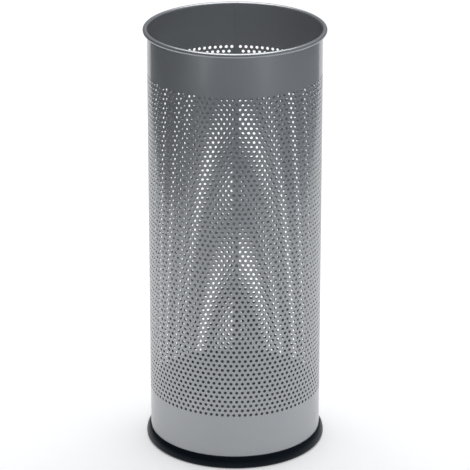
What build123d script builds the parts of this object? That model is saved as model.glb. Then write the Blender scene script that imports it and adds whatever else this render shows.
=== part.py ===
from build123d import *
import math
import os

# A tall round bin of perforated sheet steel, open at the top. Millimetres, +Z up.
# The origin is the centre of the underside. The rolled sheet's seam is at the back, on +Y.
# The wall is solid here. Its six and a half thousand punched holes are left out of the solid, which
# would grow far too heavy to exchange with them.

# ---- driving dimensions -------------------------------------------------------------------------

HEIGHT = 610.0  # floor to the top of the curled rim

WALL_OUTER_R = 121.2  # outside of the rolled sheet
SHEET = 0.8  # steel thickness of the wall
WALL_FOOT_Z = 3.0  # lower edge of the sheet, which is also the channel floor of the base ring

BEAD_R = 3.25  # outside radius of the curled rim's round section
CURL_DEG = 300.0  # how far the curl turns, counted from the upright wall
SEAM_LAP = 4.0  # width of the strip where the sheet's two ends overlap, between the holes beside it
SEAM_TOP_GAP = 2.0  # the lap stops this far below the start of the curl
SEAM_FOOT_GAP = 0.3  # and this far above the pan

PAN_SHEET = 0.8  # steel thickness of the bottom pan
PAN_FLOOR_Z = 16.0  # upper face of the pan's floor
PAN_CORNER_R = 3.0  # outside bend between the floor and the flange
PAN_FIT = 0.1  # radial clearance between the pan's flange and the wall
PAN_FOOT_GAP = 0.3  # the flange ends this far above the ring's channel floor

RING_HEIGHT = 16.5  # floor to the ring's upper edge
RING_FLARE = 6.0  # how far the ring's widest part stands out from the sheet
RING_WIDEST_Z = 4.5  # height of that widest part
RING_LIP = 1.1  # thickness of the ring's upper edge
RING_TOE = 2.6  # how far the outside pulls in again at the floor
RING_FIT = 0.1  # radial clearance between the ring and the steel
RING_INNER_WALL = 2.2  # thickness of the ring's wall inside the pan's flange
RING_INNER_HEIGHT = 9.0  # floor to the top of that inner wall

# ---- what follows from them ---------------------------------------------------------------------

WALL_INNER_R = WALL_OUTER_R - SHEET
BEAD_CENTRE_R = WALL_INNER_R + BEAD_R  # the bead is flush with the wall inside and stands out outside
BEAD_CENTRE_Z = HEIGHT - BEAD_R

PAN_OUTER_R = WALL_INNER_R - PAN_FIT
PAN_INNER_R = PAN_OUTER_R - PAN_SHEET
PAN_FOOT_Z = WALL_FOOT_Z + PAN_FOOT_GAP

CHANNEL_OUTER_R = WALL_OUTER_R + RING_FIT
CHANNEL_INNER_R = PAN_INNER_R - RING_FIT
RING_INNER_R = CHANNEL_INNER_R - RING_INNER_WALL
RING_WIDEST_R = WALL_OUTER_R + RING_FLARE


def turned(outline):
    """A solid of revolution about Z, from a closed outline of (radius, height) edges."""
    return revolve(Plane.XZ * make_face(Wire(outline)), axis=Axis.Z)


def upright(radius, low, high):
    """A solid cylinder on the Z axis between two heights."""
    return Pos(0, 0, low) * Cylinder(radius, high - low, align=(Align.CENTER, Align.CENTER, Align.MIN))


def on_curl(radius, degrees):
    """A point of the curl: 0 degrees is at the wall's inner side, 90 is the top of the rim."""
    turn = math.radians(180 - degrees)
    return (BEAD_CENTRE_R + radius * math.cos(turn), BEAD_CENTRE_Z + radius * math.sin(turn))


def rolled_sheet():
    """The upright tube and its outward curl, of one thickness throughout."""
    outside, inside = BEAD_R, BEAD_R - SHEET
    outer_start, outer_end = on_curl(outside, 0), on_curl(outside, CURL_DEG)
    inner_start, inner_end = on_curl(inside, 0), on_curl(inside, CURL_DEG)
    foot_inner, foot_outer = (WALL_INNER_R, WALL_FOOT_Z), (WALL_OUTER_R, WALL_FOOT_Z)
    return turned(
        [
            Line(foot_outer, foot_inner),
            Line(foot_inner, outer_start),
            ThreePointArc(outer_start, on_curl(outside, CURL_DEG / 2), outer_end),
            Line(outer_end, inner_end),
            ThreePointArc(inner_end, on_curl(inside, CURL_DEG / 2), inner_start),
            Line(inner_start, foot_outer),
        ]
    )


def seam_lap():
    """The inner end of the sheet, a strip one thickness further in, at the back."""
    low, high = PAN_FLOOR_Z + SEAM_FOOT_GAP, BEAD_CENTRE_Z - SEAM_TOP_GAP
    shell = upright(WALL_INNER_R, low, high) - upright(WALL_INNER_R - SHEET, low, high)
    back = Box(SEAM_LAP, WALL_OUTER_R, high, align=(Align.CENTER, Align.MIN, Align.MIN))
    return shell & back


def perforated_wall():
    """One sheet: rolled into a tube, lapped and spot-welded at the back, curled over at the top."""
    return rolled_sheet() + seam_lap()


def bottom_pan():
    """A pressed disc, its edge turned down into a flange that stands inside the wall."""
    underside = PAN_FLOOR_Z - PAN_SHEET
    blank = upright(PAN_OUTER_R, PAN_FOOT_Z, PAN_FLOOR_Z)
    blank = fillet(blank.edges().sort_by(Axis.Z)[-1], PAN_CORNER_R)
    hollow = upright(PAN_INNER_R, PAN_FOOT_Z, underside)
    hollow = fillet(hollow.edges().sort_by(Axis.Z)[-1], PAN_CORNER_R - PAN_SHEET)
    return blank - hollow


def base_ring():
    """The moulded foot: a channel round the sheet's lower edge, flared and rounded outside."""
    toe = (RING_WIDEST_R - RING_TOE, 0)
    heel = (RING_INNER_R, 0)
    inner_top, inner_lip = (RING_INNER_R, RING_INNER_HEIGHT), (CHANNEL_INNER_R, RING_INNER_HEIGHT)
    channel_in, channel_out = (CHANNEL_INNER_R, WALL_FOOT_Z), (CHANNEL_OUTER_R, WALL_FOOT_Z)
    lip_in, lip_out = (CHANNEL_OUTER_R, RING_HEIGHT), (CHANNEL_OUTER_R + RING_LIP, RING_HEIGHT)
    widest = (RING_WIDEST_R, RING_WIDEST_Z)
    return turned(
        [
            Line(toe, heel),
            Line(heel, inner_top),
            Line(inner_top, inner_lip),
            Line(inner_lip, channel_in),
            Line(channel_in, channel_out),
            Line(channel_out, lip_in),
            Line(lip_in, lip_out),
            TangentArc(widest, lip_out, tangent=(0, 1)),
            TangentArc(widest, toe, tangent=(0, -1)),
        ]
    )


os.makedirs("parts", exist_ok=True)
for make in (perforated_wall, bottom_pan, base_ring):
    export_step(make(), f"parts/{make.__name__}.step")
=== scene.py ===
# %% [markdown]
# # A perforated steel waste bin
# The real bin is made from one sheet: punched flat, rolled into a tube, lapped at the back and
# curled over at the top. A pressed pan closes it near the floor and a black plastic ring is
# pushed on underneath. This lesson makes it in the same order as the workshop does.
# The CAD model comes first, because every size and place below is measured from it.

# %% Load the CAD frame
import math

import bpy
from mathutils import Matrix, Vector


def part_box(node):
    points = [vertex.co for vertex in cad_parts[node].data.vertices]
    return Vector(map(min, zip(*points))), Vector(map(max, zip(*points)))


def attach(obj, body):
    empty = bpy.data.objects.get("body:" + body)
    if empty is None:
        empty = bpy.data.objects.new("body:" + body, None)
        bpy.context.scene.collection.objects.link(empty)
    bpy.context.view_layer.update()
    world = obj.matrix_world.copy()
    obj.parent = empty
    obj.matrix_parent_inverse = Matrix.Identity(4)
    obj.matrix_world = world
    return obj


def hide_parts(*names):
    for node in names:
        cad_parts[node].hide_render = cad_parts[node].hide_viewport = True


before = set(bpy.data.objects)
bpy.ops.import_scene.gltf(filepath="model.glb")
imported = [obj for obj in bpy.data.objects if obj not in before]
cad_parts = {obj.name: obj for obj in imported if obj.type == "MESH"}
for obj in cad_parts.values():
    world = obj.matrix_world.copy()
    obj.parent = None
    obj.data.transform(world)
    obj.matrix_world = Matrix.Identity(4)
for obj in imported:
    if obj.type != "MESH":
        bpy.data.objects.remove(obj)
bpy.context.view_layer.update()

wall_low, wall_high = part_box("perforated_wall")
pan_low, pan_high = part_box("bottom_pan")
ring_low, ring_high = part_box("base_ring")

# %% [markdown]
# ## Sizes
# The frame gives the outside sizes. The sheet's thickness, the bead and the punching pattern are
# the few values that a box can't give. Holes of 4.4 mm sit in staggered rows, nearly 60
# degrees apart, and the pitch along a row is what is left of the rolled length between the
# seam's two margins.

# %% Sizes in metres
MM = 0.001
SHEET = 0.8 * MM  # steel thickness
BEAD_R = 3.25 * MM  # outside of the curled rim's section
CURL_DEG = 300  # how far the curl turns from upright
WELD = 0.02 * MM  # points closer than this become one

HOLE_R = 2.2 * MM
HOLE_SIDES = 16
COLUMNS = 95  # holes in the fuller of the two kinds of row
ROW_STEP = 6.826 * MM
FIRST_ROW_Z = 80.2 * MM
SEAM_MARGIN = 12.2 * MM  # between the two hole centres either side of the seam
SEAM_GAP = 0.12 * MM  # the fine line that is left where the sheet's edge lies on the lap
PANEL_PAIRS = (8, 9, 9, 8)  # pairs of rows in each panel; the lowest panel has one row more

rim_r = wall_high.x
wall_mid_r = rim_r - 2 * BEAD_R + SHEET / 2
bead_z = wall_high.z - BEAD_R
sheet_length = 2 * math.pi * wall_mid_r
pitch = (sheet_length - SEAM_MARGIN) / (COLUMNS - 1)
field_half = COLUMNS * pitch / 2
tail = sheet_length - COLUMNS * pitch - SEAM_GAP
last_row_z = FIRST_ROW_Z + 2 * sum(PANEL_PAIRS) * ROW_STEP
print("pitch", round(pitch / MM, 3), "mm; seam tail", round(tail / MM, 2), "mm")
print("top row at", round(last_row_z / MM, 1), "mm;", 2 * sum(PANEL_PAIRS) + 1, "rows")

# %% [markdown]
# ## Small tools
# An operator acts on everything that is selected, and loading the frame leaves its nodes
# selected. So each step first says which objects it means.


# %% Selection helpers
def pick(*objects):
    """Selects only these objects and makes the first one active."""
    for other in bpy.context.selected_objects:
        other.select_set(False)
    for obj in objects:
        obj.select_set(True)
    bpy.context.view_layer.objects.active = objects[0]


def pick_points(obj, test):
    """In object mode, selects the vertices that pass a test on their place, and nothing else."""
    for group in (obj.data.polygons, obj.data.edges, obj.data.vertices):
        group.foreach_set("select", [False] * len(group))
    for vertex in obj.data.vertices:
        vertex.select = test(vertex.co)


def edit(obj, mode="VERT"):
    """Enters edit mode. The choice made by points is kept when it changes to edges or faces."""
    pick(obj)
    bpy.context.tool_settings.mesh_select_mode = (True, False, False)
    bpy.ops.object.mode_set(mode="EDIT")
    bpy.ops.mesh.select_mode(type=mode)


def leave():
    bpy.ops.object.mode_set(mode="OBJECT")


def on_all_faces(obj, operator, **settings):
    """Runs one edit mode operator on every face of an object."""
    edit(obj, "FACE")
    bpy.ops.mesh.select_all(action="SELECT")
    operator(**settings)
    leave()


def joined(name, *objects):
    """Joins pieces of sheet into one mesh, with the shared edges welded."""
    pick(*objects)
    if len(objects) > 1:
        bpy.ops.object.join()
    obj = bpy.context.object
    obj.name = obj.data.name = name
    edit(obj)
    bpy.ops.mesh.select_all(action="SELECT")
    bpy.ops.mesh.remove_doubles(threshold=WELD)
    leave()
    return obj


def modify(obj, kind, **settings):
    """Adds one modifier, applies it and returns the object."""
    pick(obj)
    modifier = obj.modifiers.new(kind.lower(), kind)
    for key, value in settings.items():
        setattr(modifier, key, value)
    bpy.ops.object.modifier_apply(modifier=modifier.name)
    return obj


def finish_piece(obj, node, sharp_deg=35):
    """Smooth shading, then the piece's body; the CAD node it stands for is hidden."""
    pick(obj)
    bpy.ops.object.shade_smooth_by_angle(angle=math.radians(sharp_deg))
    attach(obj, "root")
    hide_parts(node)
    triangles = sum(len(p.vertices) - 2 for p in obj.data.polygons)
    print(obj.name, triangles, "triangles", [round(v / MM, 1) for v in obj.dimensions])


# %% [markdown]
# ## One punched brick of sheet
# The pattern is a wall of bricks: each brick is one pitch wide and one row tall, with a hole in
# the middle, and every second row is shifted by half a brick. A grid gives the brick's outline,
# its inner points are deleted, and the outline is bridged to a circle. Both loops have as many
# points, so the bridge is all quads. A boolean on a rolled tube would give thousands of long
# thin triangles instead.


# %% Patches of flat sheet
def patch(left, right, low, high, columns, rows):
    """A flat grid of sheet in the XZ plane, facing the front."""
    bpy.ops.mesh.primitive_grid_add(
        x_subdivisions=columns,
        y_subdivisions=rows,
        size=1,
        location=((left + right) / 2, 0, (low + high) / 2),
        rotation=(math.radians(90), 0, 0),
    )
    obj = bpy.context.object
    bpy.ops.transform.resize(value=(right - left, 1, high - low))
    bpy.ops.object.transform_apply(location=True, rotation=True, scale=True)
    return obj


def brick(x, z):
    """One brick with its hole, centred on (x, z)."""
    half, quarters = pitch / 2, HOLE_SIDES // 4
    obj = patch(x - half, x + half, z - ROW_STEP / 2, z + ROW_STEP / 2, quarters, quarters)
    inner_x, inner_z = 0.9 * half, 0.9 * ROW_STEP / 2  # all points but the brick's border
    pick_points(obj, lambda p: abs(p.x - x) < inner_x and abs(p.z - z) < inner_z)
    edit(obj)
    bpy.ops.mesh.delete(type="VERT")
    bpy.ops.mesh.primitive_circle_add(
        vertices=HOLE_SIDES,
        radius=HOLE_R,
        location=(x, 0, z),
        rotation=(math.radians(90), 0, 0),
    )
    bpy.ops.mesh.select_mode(type="EDGE")
    bpy.ops.mesh.select_all(action="SELECT")
    bpy.ops.mesh.bridge_edge_loops()
    leave()
    return obj


sample = brick(0, 0)
print("one brick has", len(sample.data.vertices), "points and", len(sample.data.polygons), "faces")
bpy.data.objects.remove(sample)

# %% [markdown]
# ## Rows and panels
# Two rows make the repeat. The full row ends in a hole at both sides of the seam; the row
# between has one hole less, so half a brick of plain sheet fills each end. The strip called the
# tail is what lies beyond, up to the sheet's edge. Arrays copy the brick along the row, and the
# pair of rows up the panel. The pattern starts and ends with a full row. One panel of all the
# rows would be a very heavy mesh, so the field is made as a few panels whose edges meet.


# %% Arrays of bricks
def repeated(obj, count, step):
    return modify(
        obj,
        "ARRAY",
        count=count,
        use_relative_offset=False,
        use_constant_offset=True,
        constant_offset_displace=step,
    )


def full_row(low):
    """A row with a hole at both ends, from the sheet's left edge to its right edge."""
    z = low + ROW_STEP / 2
    holes = repeated(brick(pitch / 2 - field_half, z), COLUMNS, (pitch, 0, 0))
    end = patch(-field_half - tail, -field_half, low, low + ROW_STEP, 1, HOLE_SIDES // 4)
    return joined("full_row", holes, end)


def pair_of_rows(low):
    """A sparse row with a full row above it."""
    cells = HOLE_SIDES // 4
    high = low + ROW_STEP
    end = field_half - pitch / 2
    holes = repeated(brick(pitch - field_half, (low + high) / 2), COLUMNS - 1, (pitch, 0, 0))
    fillers = [
        patch(-field_half, -end, low, high, cells // 2, cells),
        patch(end, field_half, low, high, cells // 2, cells),
        patch(-field_half - tail, -field_half, low, high, 1, cells),
    ]
    return joined("rows", holes, *fillers, full_row(high))


def plain_band(low, high):
    """A strip of sheet with no holes, with edge points where the bricks have theirs."""
    cells = COLUMNS * HOLE_SIDES // 4
    band = patch(-field_half, field_half, low, high, cells, 1)
    end = patch(-field_half - tail, -field_half, low, high, 1, 1)
    return joined("band", band, end)


# %% [markdown]
# ## The curled rim
# While the sheet is still flat, its top edge is a straight line of edges. Extruding that line in
# small steps along an arc makes the curl. In the workshop a roller does this after the tube
# is closed, but bending works the same on a shape that is already curled.


# %% Top band with its curl
CURL_STEP_DEG = 15


def curled_band(low):
    band = plain_band(low, bead_z)
    centre_line = BEAD_R - SHEET / 2
    pick_points(band, lambda p: p.z > bead_z - SHEET)
    edit(band, "EDGE")
    for degrees in range(0, CURL_DEG, CURL_STEP_DEG):
        now, then = math.radians(degrees), math.radians(degrees + CURL_STEP_DEG)
        move = (
            0,
            centre_line * (math.cos(then) - math.cos(now)),
            centre_line * (math.sin(then) - math.sin(now)),
        )
        bpy.ops.mesh.extrude_region_move(TRANSFORM_OT_translate={"value": move})
    leave()
    return band


# %% [markdown]
# ## Thickness and rolling
# Solidify gives the steel its thickness, and closes the wall of every hole on the way, because
# each hole is an open edge of the sheet. Then the Simple Deform modifier bends the sheet about
# the Z axis. Its angle is the length over the radius, so the middle of the sheet keeps its
# length, as real sheet does. The front of the sheet stays put and the edges meet at the back.


# %% Roll a flat panel
def rolled(obj):
    on_all_faces(obj, bpy.ops.mesh.normals_make_consistent, inside=False)
    modify(obj, "SOLIDIFY", thickness=SHEET, offset=0, use_even_offset=True)
    turn = obj.dimensions.x / wall_mid_r
    modify(obj, "SIMPLE_DEFORM", deform_method="BEND", deform_axis="Z", angle=turn)
    pick(obj)
    bpy.ops.transform.translate(value=(0, -wall_mid_r, 0))
    bpy.ops.object.transform_apply(location=True, rotation=True, scale=True)
    return obj


panels = []
low = FIRST_ROW_Z - ROW_STEP / 2
for number, pairs in enumerate(PANEL_PAIRS, start=1):
    extra = []
    if number == 1:
        extra += [plain_band(wall_low.z, low), full_row(low)]
        low += ROW_STEP
    high = low + 2 * pairs * ROW_STEP
    stretch = repeated(pair_of_rows(low), pairs, (0, 0, 2 * ROW_STEP))
    if number == len(PANEL_PAIRS):
        extra.append(curled_band(high))
    panels.append(rolled(joined(f"wall_panel_{number}", stretch, *extra)))
    low = high

for panel in panels:
    finish_piece(panel, "perforated_wall")

# %% [markdown]
# ## The lapped seam
# One end of the sheet steps in by its own thickness and runs on behind the other end. From
# inside it is a narrow raised strip with one crisp edge; from outside only a fine line shows.

# %% Lap strip
LAP = 4.0 * MM
LAP_CLEAR = 0.02 * MM
LAP_TUCK = 0.3 * MM  # how far the strip reaches back past the end of the holes
LAP_TOP_GAP = 2 * MM  # the strip stops this far below the start of the curl
LAP_SPRING_DEG = 2.5  # the cut end of rolled sheet stays a little straighter than the tube
lap_depth = SHEET + LAP_CLEAR  # so that its outermost corner stays clear of the wall
lap_low, lap_top = pan_high.z + SHEET / 2, bead_z - LAP_TOP_GAP
lap = patch(field_half - LAP_TUCK, field_half + LAP, lap_low, lap_top, 6, 1)
lap = modify(lap, "SOLIDIFY", thickness=SHEET - LAP_CLEAR, offset=0)
pick(lap)
bpy.ops.transform.translate(value=(0, lap_depth, 0))
bpy.ops.transform.rotate(
    value=math.radians(-LAP_SPRING_DEG),
    orient_axis="Z",
    center_override=(field_half, lap_depth, 0),
)
bpy.ops.object.transform_apply(location=True, rotation=True, scale=True)
lap.name = lap.data.name = "wall_seam_lap"


def roll_by_hand(obj):
    """The same bend as a formula, for a piece that doesn't lie across the sheet's middle."""
    for vertex in obj.data.vertices:
        x, y, z = vertex.co
        turn, radius = x / wall_mid_r, wall_mid_r - y
        vertex.co = (radius * math.sin(turn), -radius * math.cos(turn), z)


roll_by_hand(lap)
finish_piece(lap, "perforated_wall")

# %% [markdown]
# ## Turned pieces
# The pan and the base ring are round, so each is drawn by one loop of points that grows: a
# circle is extruded, scaled to the next radius and moved to the next height, as on a lathe.


# %% Lathe by extruding a loop
ROUND = 192  # points round the pan and the ring


def lathe(name, outline, closed=True):
    """Extrudes a circle through a list of (radius, height) points."""
    radius, height = outline[0]
    bpy.ops.mesh.primitive_circle_add(vertices=ROUND, radius=radius, location=(0, 0, height))
    obj = bpy.context.object
    bpy.ops.object.transform_apply(location=True, rotation=True, scale=True)
    edit(obj, "EDGE")
    bpy.ops.mesh.select_all(action="SELECT")
    for next_radius, next_height in outline[1:] + (outline[:1] if closed else []):
        bpy.ops.mesh.extrude_region_move(
            TRANSFORM_OT_translate={"value": (0, 0, next_height - height)}
        )
        grow = next_radius / radius
        bpy.ops.transform.resize(value=(grow, grow, 1), center_override=(0, 0, 0))
        radius, height = next_radius, next_height
    leave()
    obj = joined(name, obj)
    on_all_faces(obj, bpy.ops.mesh.normals_make_consistent, inside=False)
    return obj


def arc(centre, radius, start_deg, end_deg, steps):
    """Points of a circular arc in the (radius, height) plane, both ends included."""
    points = []
    for i in range(steps + 1):
        turn = math.radians(start_deg + (end_deg - start_deg) * i / steps)
        points.append((centre[0] + radius * math.cos(turn), centre[1] + radius * math.sin(turn)))
    return points


# %% [markdown]
# ## Bottom pan
# A pressed disc: a flat floor, a rounded corner and a flange turned down inside the wall. The
# outer skin is drawn from the middle of the floor outwards and down, then Solidify adds the
# steel on the inner side.

# %% Bottom pan
PAN_CORNER_R = 3.0 * MM
pan_r = pan_high.x
corner = (pan_r - PAN_CORNER_R, pan_high.z - PAN_CORNER_R)
hub_r = 2 * MM  # the small middle disc, filled in last
outline = [(hub_r, pan_high.z), (pan_r / 2, pan_high.z)]
outline += arc(corner, PAN_CORNER_R, 90, 0, 8)
outline += [(pan_r, pan_low.z)]
pan = lathe("pan_sheet", outline, closed=False)
pick_points(pan, lambda p: math.hypot(p.x, p.y) < hub_r + MM)
edit(pan, "EDGE")
bpy.ops.mesh.fill()
leave()
on_all_faces(pan, bpy.ops.mesh.normals_make_consistent, inside=False)
# the shell is still open underneath, so which side is outside is checked on its floor
top_faces = [p for p in pan.data.polygons if p.center.z > pan_high.z - 0.1 * MM]
if top_faces[0].normal.z < 0:
    on_all_faces(pan, bpy.ops.mesh.flip_normals)
modify(pan, "SOLIDIFY", thickness=SHEET, offset=-1, use_even_offset=True)
finish_piece(pan, "bottom_pan")

# %% [markdown]
# ## Base ring
# A moulded channel: the sheet's edge stands in a groove, the inner wall is hidden under the pan,
# and the outside flares from a thin lip to its widest part just above the floor, then rounds
# under. Both outside curves are arcs that stand upright at the widest point.

# %% Base ring
RING_WIDEST_Z = 4.5 * MM
RING_LIP = 1.1 * MM
RING_TOE = 2.6 * MM
RING_FIT = 0.1 * MM
RING_INNER_WALL = 2.2 * MM
RING_INNER_HEIGHT = 9.0 * MM
ring_r, ring_top = ring_high.x, ring_high.z
groove_out = wall_mid_r + SHEET / 2 + RING_FIT
groove_in = pan_r - SHEET - RING_FIT
heel_r = groove_in - RING_INNER_WALL


def upright_arc(across, rise, steps, towards_widest):
    """An arc that is upright at the ring's widest point and reaches (across inwards, rise)."""
    radius = (across**2 + rise**2) / (2 * across)
    sweep = math.degrees(math.asin(abs(rise) / radius)) * math.copysign(1, rise)
    centre = (ring_r - radius, RING_WIDEST_Z)
    start, end = (sweep, 0) if towards_widest else (0, sweep)
    return arc(centre, radius, start, end, steps)


flare = upright_arc(ring_r - groove_out - RING_LIP, ring_top - RING_WIDEST_Z, 12, True)
toe = upright_arc(RING_TOE, -RING_WIDEST_Z, 8, False)
outline = [(groove_out, wall_low.z), (groove_out, ring_top)] + flare + toe[1:]
outline += [
    (heel_r, 0),
    (heel_r, RING_INNER_HEIGHT),
    (groove_in, RING_INNER_HEIGHT),
    (groove_in, wall_low.z),
]
ring = lathe("moulded_ring", outline)
finish_piece(ring, "base_ring")


# %% [markdown]
# ## Finishes
# One node group makes the small unevenness that paint and plastic share: a fine grain in colour
# and gloss, soft cloudy patches, and a height for the bump. Each material gives it its own
# colour, grain size and strength.


# %% Shared surface group
def new_group(name, inputs, outputs):
    group = bpy.data.node_groups.new(name, "ShaderNodeTree")
    for label, kind, value in inputs:
        socket = group.interface.new_socket(name=label, in_out="INPUT", socket_type=kind)
        socket.default_value = value
    for label, kind in outputs:
        group.interface.new_socket(name=label, in_out="OUTPUT", socket_type=kind)
    return group, group.nodes.new("NodeGroupInput"), group.nodes.new("NodeGroupOutput")


FLOAT, COLOR = "NodeSocketFloat", "NodeSocketColor"
surface_group, given, result = new_group(
    "uneven_surface",
    [
        ("Color", COLOR, (0.5, 0.5, 0.5, 1)),
        ("Grain size", FLOAT, 900.0),
        ("Grain", FLOAT, 0.1),
        ("Clouds", FLOAT, 0.05),
        ("Roughness", FLOAT, 0.3),
    ],
    [("Color", COLOR), ("Roughness", FLOAT), ("Height", FLOAT)],
)
links = surface_group.links


def math_node(tree, operation, first, second):
    node = tree.nodes.new("ShaderNodeMath")
    node.operation = operation
    for socket, value in zip(node.inputs, (first, second)):
        if isinstance(value, (int, float)):
            socket.default_value = value
        else:
            tree.links.new(value, socket)
    return node.outputs[0]


place = surface_group.nodes.new("ShaderNodeTexCoord")
grain = surface_group.nodes.new("ShaderNodeTexNoise")
grain.inputs["Detail"].default_value = 3
clouds = surface_group.nodes.new("ShaderNodeTexNoise")
clouds.inputs["Scale"].default_value = 14
clouds.inputs["Detail"].default_value = 4
links.new(place.outputs["Object"], grain.inputs["Vector"])
links.new(place.outputs["Object"], clouds.inputs["Vector"])
links.new(given.outputs["Grain size"], grain.inputs["Scale"])
grain_offset = math_node(surface_group, "SUBTRACT", grain.outputs["Fac"], 0.5)
cloud_offset = math_node(surface_group, "SUBTRACT", clouds.outputs["Fac"], 0.5)
grain_part = math_node(surface_group, "MULTIPLY", grain_offset, given.outputs["Grain"])
cloud_part = math_node(surface_group, "MULTIPLY", cloud_offset, given.outputs["Clouds"])
both = math_node(surface_group, "ADD", grain_part, cloud_part)
gain = math_node(surface_group, "ADD", both, 1.0)
tint = surface_group.nodes.new("ShaderNodeVectorMath")
tint.operation = "SCALE"
links.new(given.outputs["Color"], tint.inputs[0])
links.new(gain, tint.inputs["Scale"])
links.new(tint.outputs[0], result.inputs["Color"])
gloss = math_node(surface_group, "MULTIPLY", given.outputs["Roughness"], gain)
links.new(gloss, result.inputs["Roughness"])
links.new(grain.outputs["Fac"], result.inputs["Height"])


# %% [markdown]
# ## Materials
# The steel wears a silver-grey metallic enamel: mostly metal in its reflections, with a thin
# clear gloss on top. The ring is black plastic, satin, with a finer and flatter grain.


# %% Make the materials
def finish(name, color, roughness, grain_size, grain, clouds, bump, **shader_values):
    material = bpy.data.materials.new(name)
    material.use_nodes = True
    tree = material.node_tree
    shader = tree.nodes["Principled BSDF"]
    surface = tree.nodes.new("ShaderNodeGroup")
    surface.node_tree = surface_group
    values = {
        "Color": (*color, 1),
        "Grain size": grain_size,
        "Grain": grain,
        "Clouds": clouds,
        "Roughness": roughness,
    }
    for key, value in values.items():
        surface.inputs[key].default_value = value
    tree.links.new(surface.outputs["Color"], shader.inputs["Base Color"])
    tree.links.new(surface.outputs["Roughness"], shader.inputs["Roughness"])
    relief = tree.nodes.new("ShaderNodeBump")
    relief.inputs["Strength"].default_value = 1
    relief.inputs["Distance"].default_value = bump
    tree.links.new(surface.outputs["Height"], relief.inputs["Height"])
    tree.links.new(relief.outputs["Normal"], shader.inputs["Normal"])
    for key, value in shader_values.items():
        shader.inputs[key.replace("_", " ")].default_value = value
    return material


wall_finish = finish(
    "silver_enamel",
    (0.40, 0.41, 0.42),
    roughness=0.3,
    grain_size=1400,
    grain=0.35,
    clouds=0.10,
    bump=0.01 * MM,
    Metallic=0.65,
    Specular_Tint=(0.7, 0.7, 0.7, 1),
    Coat_Weight=0.6,
    Coat_Roughness=0.04,
)
pan_finish = finish(
    "pan_enamel",
    (0.33, 0.34, 0.35),
    roughness=0.36,
    grain_size=1400,
    grain=0.35,
    clouds=0.2,
    bump=0.01 * MM,
    Metallic=0.65,
    Coat_Weight=0.2,
    Coat_Roughness=0.15,
)
ring_finish = finish(
    "black_moulding",
    (0.003, 0.0055, 0.0095),
    roughness=0.36,
    grain_size=1800,
    grain=0.3,
    clouds=0.15,
    bump=0.02 * MM,
    Specular_IOR_Level=0.17,
    Specular_Tint=(0.75, 0.9, 1, 1),
)
dressed = [(panel, wall_finish) for panel in (*panels, lap)]
dressed += [(pan, pan_finish), (ring, ring_finish)]
for node, material in (
    ("perforated_wall", wall_finish),
    ("bottom_pan", pan_finish),
    ("base_ring", ring_finish),
):
    dressed.append((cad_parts[node], material))
for obj, material in dressed:
    obj.data.materials.clear()
    obj.data.materials.append(material)

# %% [markdown]
# ## Studio
# The bin stands on pale paper. Polished paint shows its surroundings, so the room is part of
# the finish: the lower wall mirrors the bright paper close by, the upper wall mirrors the grey
# room beyond the paper's front edge, and the paper's long sides give the upper wall two bright
# upright strips.

# %% Paper
PAPER_HALF = 1.10
PAPER_FRONT, PAPER_BACK = -1.3, 2.7


def floor_paper():
    bpy.ops.mesh.primitive_plane_add(size=1, location=(0, (PAPER_FRONT + PAPER_BACK) / 2, 0))
    obj = bpy.context.object
    bpy.ops.transform.resize(value=(2 * PAPER_HALF, PAPER_BACK - PAPER_FRONT, 1))
    bpy.ops.object.transform_apply(location=True, rotation=True, scale=True)
    obj.name = "studio_paper"
    return obj


floor = floor_paper()

# %% [markdown]
# The paper is brightest behind the bin and falls off towards the front, as a floor does when
# the room's light comes from behind the set. A little glow of its own stands for the many
# bounces of light between the floor and a white ceiling.

# %% Paper material
NEAR_GLOW = (0.05, 0.36)  # from the front edge to the bin
FAR_GLOW = (0.0, 0.27)  # what is added from the bin to the back

paper = bpy.data.materials.new("pale_paper")
paper.use_nodes = True
tree = paper.node_tree
shader = tree.nodes["Principled BSDF"]
shader.inputs["Roughness"].default_value = 0.9
shader.inputs["Base Color"].default_value = (0.9, 0.9, 0.9, 1)
shader.inputs["Emission Color"].default_value = (1, 1, 1, 1)
where = tree.nodes.new("ShaderNodeTexCoord")
split = tree.nodes.new("ShaderNodeSeparateXYZ")
tree.links.new(where.outputs["Object"], split.inputs[0])


def ramp(tree, socket, start, end, low, high):
    """Turns a value that goes from start to end into one that goes from low to high."""
    node = tree.nodes.new("ShaderNodeMapRange")
    for key, value in (("From Min", start), ("From Max", end), ("To Min", low), ("To Max", high)):
        node.inputs[key].default_value = value
    tree.links.new(socket, node.inputs["Value"])
    return node.outputs["Result"]


near = ramp(tree, split.outputs["Y"], -1.0, 0.1, *NEAR_GLOW)
far = ramp(tree, split.outputs["Y"], 0.9, 2.4, *FAR_GLOW)
tree.links.new(math_node(tree, "ADD", near, far), shader.inputs["Emission Strength"])
floor.data.materials.append(paper)

# %% [markdown]
# ## Light
# One large soft lamp hangs overhead. The room itself is a cool grey, darker on the left, and it
# is what the upper half of the polished wall mirrors. Only rays that come straight from the
# camera see the room as white, so the picture has a plain pale background from every side.


# %% Lamp and room
def softbox(name, place, aim, size, power):
    data = bpy.data.lights.new(name, "AREA")
    data.shape = "RECTANGLE"
    data.size, data.size_y = size
    data.energy = power
    obj = bpy.data.objects.new(name, data)
    bpy.context.scene.collection.objects.link(obj)
    obj.location = place
    direction = [a - p for a, p in zip(aim, place)]
    yaw = math.atan2(direction[1], direction[0]) - math.pi / 2
    tilt = math.pi / 2 + math.atan2(direction[2], math.hypot(direction[0], direction[1]))
    obj.rotation_euler = (tilt, 0, yaw)
    return obj


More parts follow.
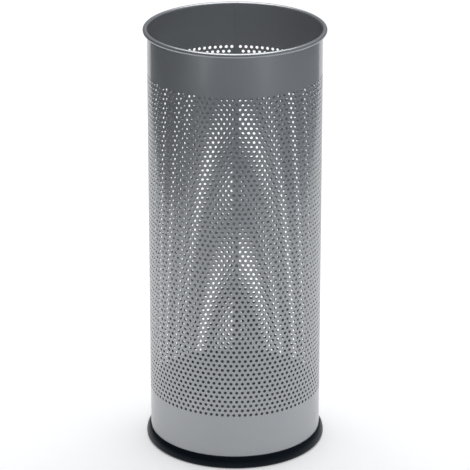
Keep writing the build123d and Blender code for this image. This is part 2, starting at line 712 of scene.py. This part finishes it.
ROOM_STRENGTH = (0.34, 1.05)  # at the left and at the right

softbox("overhead", (0, 0.3, 2.6), (0, 0.301, 0), (2.4, 2.4), 60)

world = bpy.data.worlds.new("room")
world.use_nodes = True
tree = world.node_tree
background = tree.nodes["Background"]
background.inputs["Color"].default_value = (0.235, 0.255, 0.285, 1)
toward = tree.nodes.new("ShaderNodeTexCoord")
split = tree.nodes.new("ShaderNodeSeparateXYZ")
tree.links.new(toward.outputs["Generated"], split.inputs[0])
strength = ramp(tree, split.outputs["X"], -0.9, 0.9, *ROOM_STRENGTH)
tree.links.new(strength, background.inputs["Strength"])
backdrop = tree.nodes.new("ShaderNodeBackground")
backdrop.inputs["Color"].default_value = (1, 1, 1, 1)
seen = tree.nodes.new("ShaderNodeLightPath")
choice = tree.nodes.new("ShaderNodeMixShader")
tree.links.new(seen.outputs["Is Camera Ray"], choice.inputs["Fac"])
tree.links.new(background.outputs[0], choice.inputs[1])
tree.links.new(backdrop.outputs[0], choice.inputs[2])
tree.links.new(choice.outputs[0], tree.nodes["World Output"].inputs["Surface"])
bpy.context.scene.world = world
bpy.context.scene.view_settings.view_transform = "Standard"

# %% [markdown]
# ## Camera
# A long lens from a little over three and a half metres, looking down at the bin.

# %% Camera
CAMERA_DISTANCE = 3.6025  # level distance from the bin's axis
CAMERA_HEIGHT = 1.6996
CAMERA_TILT_DEG = 20.5
CAMERA_TURN_DEG = 0.77
CAMERA_SHIFT_Y = -0.069
LENS_MM = 209.8

camera_data = bpy.data.cameras.new("camera")
camera_data.lens = LENS_MM
camera_data.shift_y = CAMERA_SHIFT_Y
camera = bpy.data.objects.new("camera", camera_data)
bpy.context.scene.collection.objects.link(camera)
turn = math.radians(CAMERA_TURN_DEG)
camera.location = (
    CAMERA_DISTANCE * math.sin(turn),
    -CAMERA_DISTANCE * math.cos(turn),
    CAMERA_HEIGHT,
)
camera.rotation_euler = (math.radians(90 - CAMERA_TILT_DEG), 0, turn)
bpy.context.scene.camera = camera
